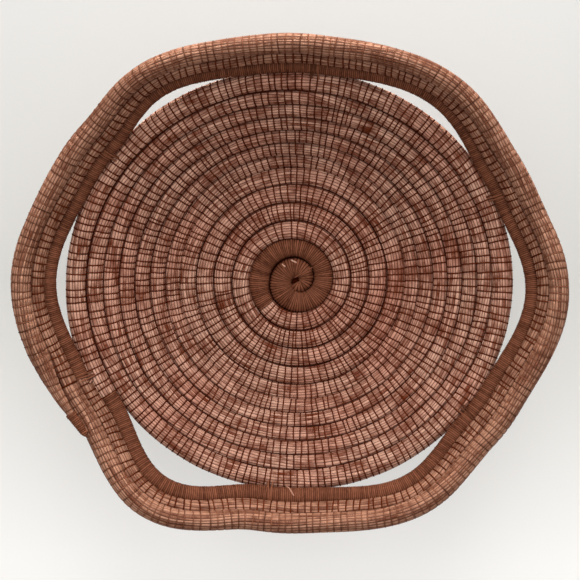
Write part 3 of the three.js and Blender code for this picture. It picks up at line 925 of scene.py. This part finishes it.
class TRAY_OT_stage(bpy.types.Operator):
    """Adds the camera at the photograph's viewing place, soft studio light and a plain pale floor"""

    bl_idname = "coiled_tray.stage"
    bl_label = "Stage"

    def execute(self, context):
        scene = context.scene
        look = scene.tray_stage
        scene.view_settings.view_transform = "Standard"
        self.add_camera(scene)
        self.add_light(scene, "key_light", look.key_power, place=(0.1, 1.05, 0.85), size=1.0)
        self.add_light(
            scene, "low_light", look.low_power, place=(0.0, 1.3, 0.14), size=0.25,
            colour=(1, 0.93, 0.82), spread=50 * DEGREE,
        )
        self.add_light(scene, "fill_light", look.fill_power, place=(0.0, 0.25, 1.4), size=1.2)
        self.add_room(scene, look)
        self.add_floor(scene, look)
        return {"FINISHED"}

    def add_room(self, scene, look):
        """Even light from all round, which is seen as pale past the edge of the floor."""
        room_colour = (1, 0.985, 0.96, 1)
        world = bpy.data.worlds.new("room")
        world.use_nodes = True
        sky = world.node_tree.nodes["Background"]
        backdrop = world.node_tree.nodes.new("ShaderNodeBackground")
        for room, strength in ((sky, look.sky_strength), (backdrop, look.backdrop_strength)):
            room.inputs["Color"].default_value = room_colour
            room.inputs["Strength"].default_value = strength
        seen = self.seen_directly(world.node_tree)
        self.mix_shaders(world.node_tree, "World Output", seen, sky, backdrop)
        scene.world = world

    def seen_directly(self, tree):
        """One for a ray from the camera, or one that a mirror or glass sends on, and nought for the rest."""
        rays = tree.nodes.new("ShaderNodeLightPath")
        seen = rays.outputs["Is Camera Ray"]
        for ray in ("Is Glossy Ray", "Is Transmission Ray"):
            either = tree.nodes.new("ShaderNodeMath")
            either.operation = "MAXIMUM"
            tree.links.new(seen, either.inputs[0])
            tree.links.new(rays.outputs[ray], either.inputs[1])
            seen = either.outputs["Value"]
        return seen

    def mix_shaders(self, tree, output, share, one, other):
        """Sends to the output one shader, and in its place a share of the other."""
        mixed = tree.nodes.new("ShaderNodeMixShader")
        for socket, value in zip(mixed.inputs, (share, one.outputs[0], other.outputs[0])):
            tree.links.new(value, socket)
        tree.links.new(mixed.outputs["Shader"], tree.nodes[output].inputs["Surface"])

    def add_camera(self, scene):
        """A camera at the viewing place, aimed so that the pole falls on its pixel of the photograph."""
        pole = Vector(POLE)
        back = Vector((math.sin(VIEW_TILT_RIGHT), math.sin(VIEW_TILT_UP), 1)).normalized()
        middle = IMAGE_PIXELS / 2
        aim = pole + METRES_PER_PIXEL * Vector((middle - POLE_PIXEL[0], POLE_PIXEL[1] - middle, 0))
        place = pole + VIEW_DISTANCE * back
        away = (place - aim).normalized()
        right = Vector((0, 1, 0)).cross(away).normalized()
        upward = away.cross(right)
        camera = bpy.data.objects.new("camera", bpy.data.cameras.new("camera"))
        turned = Matrix((right, upward, away)).transposed().to_4x4()
        camera.matrix_world = Matrix.Translation(place) @ turned
        camera.data.sensor_width = 36
        camera.data.lens = camera.data.sensor_width * VIEW_DISTANCE / METRES_PER_PIXEL / IMAGE_PIXELS
        scene.collection.objects.link(camera)
        scene.camera = camera

    def add_light(self, scene, name, power, place, size, colour=(1, 1, 1), spread=math.pi):
        """A square area lamp at a place, turned to the middle of the tray, that lights a cone."""
        aim = Vector((0, 0, 0.04))
        lamp = bpy.data.lights.new(name, "AREA")
        lamp.size = size
        lamp.energy = power
        lamp.color = colour
        lamp.spread = spread
        light = bpy.data.objects.new(name, lamp)
        light.location = place
        light.rotation_mode = "QUATERNION"
        light.rotation_quaternion = (aim - Vector(place)).to_track_quat("-Z", "Y")
        scene.collection.objects.link(light)

    def add_floor(self, scene, look):
        """A flat square just under the tray, in a colour that changes from front to back, darker in the
        middle under the tray as painted shade. The camera sees a share of that colour unshaded, so that the
        shadow on it stays pale."""
        half = 2.5
        low = -0.0004
        corners = [(-half, -half, low), (half, -half, low), (half, half, low), (-half, half, low)]
        mesh = bpy.data.meshes.new("floor")
        mesh.from_pydata(corners, [], [(0, 1, 2, 3)])
        mesh.materials.append(self.floor_material(look))
        floor = bpy.data.objects.new("floor", mesh)
        scene.collection.objects.link(floor)

    def floor_material(self, look):
        """Matt paint between three colours by the place from front to back, darker in the middle as painted
        shade, mixed with its own glow.
        """
        reach = 0.17
        halfway = 0.5
        roughness = 0.9
        shine = 0.1
        colours = (look.front_colour, look.middle_shade_colour, look.back_colour)
        material = bpy.data.materials.new("floor_paint")
        material.use_nodes = True
        nodes = material.node_tree.nodes
        links = material.node_tree.links
        shader = nodes["Principled BSDF"]
        shader.inputs["Roughness"].default_value = roughness
        shader.inputs["Specular IOR Level"].default_value = shine
        place = nodes.new("ShaderNodeTexCoord")
        parts = nodes.new("ShaderNodeSeparateXYZ")
        links.new(place.outputs["Object"], parts.inputs["Vector"])
        share = nodes.new("ShaderNodeMapRange")
        share.inputs["From Min"].default_value = -reach
        share.inputs["From Max"].default_value = reach
        links.new(parts.outputs["Y"], share.inputs["Value"])
        ramp = nodes.new("ShaderNodeValToRGB")
        ramp.color_ramp.elements.new(halfway)
        for element, colour in zip(ramp.color_ramp.elements, colours):
            element.color = (*colour, 1)
        links.new(share.outputs["Result"], ramp.inputs["Fac"])
        links.new(ramp.outputs["Color"], shader.inputs["Base Color"])
        glow = nodes.new("ShaderNodeEmission")
        links.new(ramp.outputs["Color"], glow.inputs["Color"])
        part = nodes.new("ShaderNodeMath")
        part.operation = "MULTIPLY"
        part.inputs[1].default_value = look.floor_glow
        links.new(self.seen_directly(material.node_tree), part.inputs[0])
        self.mix_shaders(material.node_tree, "Material Output", part.outputs["Value"], shader, glow)
        return material


class TRAY_OT_start(bpy.types.Operator):
    """Adds the thread-wound start of the coil, the thread across its eye and the loose ends on it"""

    bl_idname = "coiled_tray.start"
    bl_label = "Wound Start"

    def execute(self, context):
        thread = context.scene.tray_thread
        picker = np.random.default_rng(seed=11)
        tip_turns = 0.07
        tip_cut = 0.8

        def start_size(turn):
            blunt = blunted((turn - START_TURNS[0]) / tip_turns, tip_cut)
            return np.interp(turn, START_TURNS, START_HALF_WIDTHS) * blunt, START_HALF_HEIGHT * blunt

        surface = wound_surface(
            START_TURNS[0], FLOOR_START, start_size, thread, picker, START_WINDING_LEAN, WOUND_START_SEAM_SHADE
        )
        add_piece("wound_start", surface, wrap_material(), ("start_wrap", "start_core"))
        add_piece("eye_thread", eye_surface(picker), stitch_material())
        threads = laid_thread(CURL_THREADS, low=0.006, top=0.0089, radius=0.0003, picker=picker)
        add_piece("start_thread", threads, wrap_material())
        tips = laid_thread(NEEDLE_TIPS, low=0.0065, top=0.0082, radius=0.0005, picker=picker)
        add_piece("needle_tips", tips, needle_material())
        return {"FINISHED"}


class TRAY_OT_floor(bpy.types.Operator):
    """Adds the stitched needle rounds of the floor"""

    bl_idname = "coiled_tray.floor"
    bl_label = "Floor Rounds"

    def execute(self, context):
        finish = needle_material()
        add_rounds("floor", FLOOR_START, WALL_START, ("floor_coil",), finish, seed=21, pale_length=0.005)
        return {"FINISHED"}


class TRAY_OT_wall(bpy.types.Operator):
    """Adds the stitched needle rounds of the sloping wall"""

    bl_idname = "coiled_tray.wall"
    bl_label = "Wall Rounds"

    def execute(self, context):
        finish = needle_material()
        last_round = OPENWORK_START - 1
        add_rounds("lower_wall", WALL_START, UPPER_WALL_START, ("lower_wall_coil",), finish, seed=31)
        add_rounds("upper_wall", UPPER_WALL_START, last_round, ("upper_wall_coil",), finish, seed=32)
        add_rounds("last_wall", last_round, FIRST_WINDING, (), finish, seed=33, outer_seam_shade=False)
        return {"FINISHED"}


class TRAY_OT_openwork(bpy.types.Operator):
    """Adds the openwork round: a needle core and the thread wound over its arches"""

    bl_idname = "coiled_tray.openwork"
    bl_label = "Openwork Arches"

    def execute(self, context):
        thread = context.scene.tray_thread
        needles = context.scene.tray_needles
        picker = np.random.default_rng(seed=41)
        ring_spacing = 0.002
        core_needles = 16
        last_lashing = lashing_turn(ARCH_COUNT)
        core_end = last_lashing + as_turns(BESIDE_LASHING, last_lashing)
        turns = even_turns(OPENWORK_START, core_end, ring_spacing)
        size = np.full(len(turns), CORE_RADIUS)
        still = np.zeros(len(turns))
        rings = Rings(turns, still, still, still)
        surface = needle_surface(rings, size, size, core_needles, needles.groove_depth, picker)
        add_piece("openwork_needles", surface, needle_material(), ("openwork_core",))

        def arch_size(turn):
            size = np.full(len(turn), thread.arch_radius)
            return size, size

        first = FIRST_WINDING
        for number in range(1, ARCH_COUNT + 1):
            last = lashing_turn(number)
            surface = wound_surface(first, last, arch_size, thread, picker)
            nodes = (f"arch_wrap_{number}",)
            add_piece(f"wound_arch_{number}", surface, wrap_material(), nodes)
            first = last
        return {"FINISHED"}


class TRAY_OT_lashings(bpy.types.Operator):
    """Adds the six lashings that tie the openwork round to the wall, and the loose needle ends under them"""

    bl_idname = "coiled_tray.lashings"
    bl_label = "Lashings"

    def execute(self, context):
        thread = context.scene.tray_thread
        picker = np.random.default_rng(seed=51)
        for number in range(1, ARCH_COUNT + 1):
            surface = lashing_surface(lashing_turn(number), thread, picker)
            nodes = (f"lashing_{number}",)
            name = f"lashing_loops_{number}"
            add_piece(name, surface, wrap_material(), nodes, closed=True)
        ends = needle_end_surface(thread.arch_radius, picker)
        add_piece("needle_ends", ends, needle_material())
        return {"FINISHED"}


class TRAY_OT_rim(bpy.types.Operator):
    """Adds the two stitched rim rounds and their wound outer end"""

    bl_idname = "coiled_tray.rim"
    bl_label = "Rim Rounds"

    def execute(self, context):
        thread = context.scene.tray_thread
        finish = rim_material()
        first = lashing_turn(ARCH_COUNT)
        middle = first + 1
        add_rounds(
            "inner_rim", first, middle, ("rim_coil",), finish, seed=61, pitch=RIM_PITCH,
            seam_shade_start=INNER_RIM_SEAM_SHADE,
        )
        add_rounds(
            "outer_rim", middle, COIL_END, (), finish, seed=62, pitch=RIM_PITCH,
            seam_shade_start=OUTER_RIM_SEAM_SHADE, outer_seam_shade=False, edged=True,
        )
        picker = np.random.default_rng(seed=63)
        tip_length = 0.003
        tip_cut = 0.9
        tip = COIL_END + as_turns(WRAP_OVER, COIL_END)
        tip_turns = as_turns(tip_length, COIL_END)

        def end_size(turn):
            size = (rim_radius(turn) + WRAP_OVER) * blunted((tip - turn) / tip_turns, tip_cut)
            return size, size

        surface = wound_surface(COIL_END - END_WRAP_TURNS, tip, end_size, thread, picker)
        add_piece("wound_end", surface, wrap_material(), ("rim_end_wrap",))
        return {"FINISHED"}


STEPS = (
    TRAY_OT_stage,
    TRAY_OT_start,
    TRAY_OT_floor,
    TRAY_OT_wall,
    TRAY_OT_openwork,
    TRAY_OT_lashings,
    TRAY_OT_rim,
)


class TRAY_PT_panel(bpy.types.Panel):
    """Lists the pieces of the tray and their sizes and colours"""

    bl_idname = "TRAY_PT_panel"
    bl_label = "Coiled Tray"
    bl_space_type = "VIEW_3D"
    bl_region_type = "UI"
    bl_category = "Coiled Tray"

    def draw(self, context):
        layout = self.layout
        for settings in (context.scene.tray_needles, context.scene.tray_thread, context.scene.tray_stage):
            box = layout.box()
            for name in settings.__annotations__:
                box.prop(settings, name)
        for step in STEPS:
            layout.operator(step.bl_idname)


CLASSES = (TrayNeedles, TrayThread, TrayStage, *STEPS, TRAY_PT_panel)


def register():
    for each in CLASSES:
        bpy.utils.register_class(each)
    bpy.types.Scene.tray_needles = PointerProperty(type=TrayNeedles)
    bpy.types.Scene.tray_thread = PointerProperty(type=TrayThread)
    bpy.types.Scene.tray_stage = PointerProperty(type=TrayStage)


def unregister():
    del bpy.types.Scene.tray_stage
    del bpy.types.Scene.tray_thread
    del bpy.types.Scene.tray_needles
    for each in reversed(CLASSES):
        bpy.utils.unregister_class(each)


def main():
    register()
    bpy.ops.coiled_tray.stage()
    bpy.ops.coiled_tray.start()
    bpy.ops.coiled_tray.floor()
    bpy.ops.coiled_tray.wall()
    bpy.ops.coiled_tray.openwork()
    bpy.ops.coiled_tray.lashings()
    bpy.ops.coiled_tray.rim()


if __name__ == "__main__":
    main()
